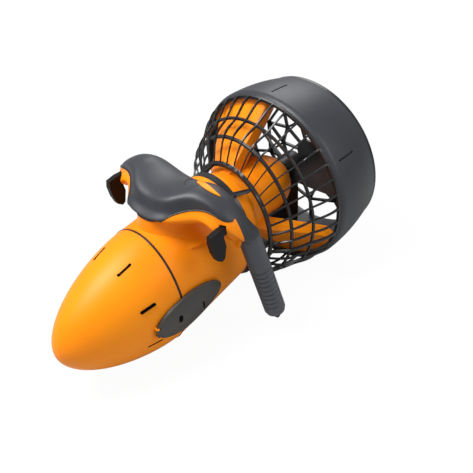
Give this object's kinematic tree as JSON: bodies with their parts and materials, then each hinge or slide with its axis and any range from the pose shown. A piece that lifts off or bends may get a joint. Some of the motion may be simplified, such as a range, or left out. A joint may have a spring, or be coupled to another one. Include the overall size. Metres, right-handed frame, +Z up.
{
  "type": "underwater scooter",
  "caption": "Hand-held underwater scooter: egg-shaped sealed hull, ducted propeller behind a ribbed guard cage, saddle handle with side grips and finger triggers.",
  "frame": {"origin": "on the floor the scooter rests on, below the middle of its length", "axes": "+Z up, -Y towards the nose, +Y towards the propeller duct and stern, +X to port; the propeller axis is parallel to Y at z 0.160"},
  "size_m": [0.32, 0.58, 0.32],
  "materials": {
    "orange_shell": "moulded in colour, satin to gloss",
    "grey_plastic": "fine moulded grain",
    "black_plastic": "satin",
    "latch_plastic": "satin",
    "grip_rubber": "soft matte",
    "seal_rubber": "smooth",
    "steel": "stainless, turned",
    "motor_steel": "dull coated can",
    "aluminium": "machined",
    "battery_case": "plain",
    "board": "coated board"
  },
  "bodies": {
    "hull": {"main_hull": "orange_shell", "tail_housing": "orange_shell", "stator_vanes": "orange_shell", "duct": "grey_plastic", "front_guard": "grey_plastic", "rear_guard": "grey_plastic", "rim_screws": "steel", "motor": "motor_steel", "motor_mount": "aluminium", "gearbox": "aluminium", "shaft_bearings": "steel", "shaft_seal": "seal_rubber", "handle_core": "orange_shell", "saddle_cover": "grey_plastic", "grip_sleeve_port": "grip_rubber", "grip_sleeve_starboard": "grip_rubber", "grip_core_port": "black_plastic", "grip_core_starboard": "black_plastic", "trigger_pin_port": "steel", "trigger_pin_starboard": "steel", "bulkhead": "black_plastic", "battery_tray": "black_plastic", "battery_pack": "battery_case", "control_board": "board"},
    "nose": {"nose_cone": "orange_shell", "nose_collar": "black_plastic", "seam_seal": "seal_rubber", "spigot_seal": "seal_rubber", "latch_pin_port": "steel", "latch_pin_starboard": "steel"},
    "propeller": {"prop_shaft": "steel", "propeller": "black_plastic", "prop_nut": "black_plastic"},
    "trigger_port": {"trigger_port": "black_plastic"},
    "trigger_starboard": {"trigger_starboard": "black_plastic"},
    "latch_port": {"latch_port": "latch_plastic"},
    "latch_starboard": {"latch_starboard": "latch_plastic"}
  },
  "joints": [
    {"name": "nose_slide", "type": "slide", "parent": "hull", "child": "nose", "axis": [0, -0.9862, -0.1653], "range_m": [0, 0.04]},
    {"name": "propeller_spin", "type": "hinge", "parent": "hull", "child": "propeller", "pos_m": [0, 0.227, 0.16], "axis": [0, 1, 0], "continuous": true},
    {"name": "trigger_pull_port", "type": "hinge", "parent": "hull", "child": "trigger_port", "pos_m": [0.117, -0.033, 0.237], "axis": [1, 0, 0], "range_deg": [0, 12], "stiffness_Nm_per_rad": 0.6, "springref_deg": -5.73},
    {"name": "trigger_pull_starboard", "type": "hinge", "parent": "hull", "child": "trigger_starboard", "pos_m": [-0.117, -0.033, 0.237], "axis": [1, 0, 0], "range_deg": [0, 12], "stiffness_Nm_per_rad": 0.6, "springref_deg": -5.73},
    {"name": "latch_swing_port", "type": "hinge", "parent": "nose", "child": "latch_port", "pos_m": [0.08173, -0.1605, 0.09743], "axis": [0, 0, -1], "range_deg": [0, 80]},
    {"name": "latch_swing_starboard", "type": "hinge", "parent": "nose", "child": "latch_starboard", "pos_m": [-0.08173, -0.1605, 0.09743], "axis": [0, 0, 1], "range_deg": [0, 80]}
  ]
}
